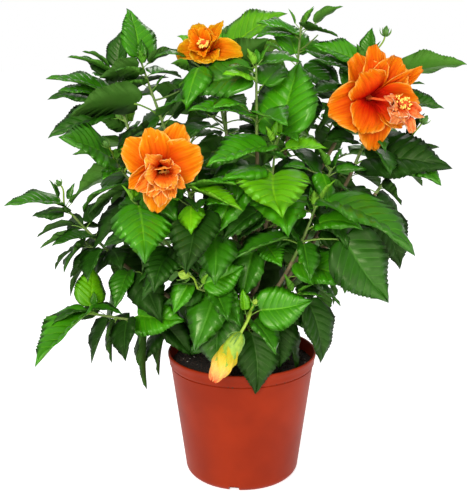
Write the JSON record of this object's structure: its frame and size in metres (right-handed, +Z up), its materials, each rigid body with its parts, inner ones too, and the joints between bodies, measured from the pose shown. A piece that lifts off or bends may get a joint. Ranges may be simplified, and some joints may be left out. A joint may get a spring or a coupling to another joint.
{
  "type": "potted flowering shrub",
  "caption": "Leafy flowering shrub with double orange blossoms, branching from one short trunk in a round tapered nursery pot full of soil.",
  "frame": {"origin": "centre of the pot's flat underside", "axes": "+Z up along the pot's axis, -Y towards the side that shows the large blossoms, +X to the right seen from that side"},
  "size_m": [0.5422, 0.4, 0.5969],
  "materials": {
    "pot": "satin",
    "soil": "matt",
    "bark": "matt",
    "foliage": "satin",
    "petal": "matt",
    "bud": "matt"
  },
  "bodies": {
    "root": {"bloom_left": "petal", "bloom_right": "petal", "bloom_top": "petal", "bough_back_centre": "bark", "bough_back_left": "bark", "bough_back_low_left": "bark", "bough_back_low_right": "bark", "bough_back_right": "bark", "bough_back_top": "bark", "bough_front_centre": "bark", "bough_front_left": "bark", "bough_front_left_low": "bark", "bough_front_low": "bark", "bough_front_right_low": "bark", "bough_left_far": "bark", "bough_left_inner": "bark", "bough_left_low": "bark", "bough_left_mid": "bark", "bough_right_far": "bark", "bough_right_low": "bark", "bough_right_mid": "bark", "bough_top": "bark", "bough_top_front": "bark", "bough_top_left": "bark", "bough_top_right": "bark", "bough_upper_left": "bark", "bough_upper_left_far": "bark", "bough_upper_right": "bark", "foliage_back_centre": "foliage", "foliage_back_left": "foliage", "foliage_back_low_left": "foliage", "foliage_back_low_right": "foliage", "foliage_back_right": "foliage", "foliage_back_top": "foliage", "foliage_front_centre": "foliage", "foliage_front_left": "foliage", "foliage_front_left_low": "foliage", "foliage_front_low": "foliage", "foliage_front_right_low": "foliage", "foliage_left_far": "foliage", "foliage_left_inner": "foliage", "foliage_left_low": "foliage", "foliage_left_mid": "foliage", "foliage_right_far": "foliage", "foliage_right_low": "foliage", "foliage_right_mid": "foliage", "foliage_top": "foliage", "foliage_top_front": "foliage", "foliage_top_left": "foliage", "foliage_top_right": "foliage", "foliage_upper_left": "foliage", "foliage_upper_left_far": "foliage", "foliage_upper_right": "foliage", "opening_bud": "bud", "pot": "pot", "soil": "soil", "trunk": "bark"}
  },
  "joints": []
}
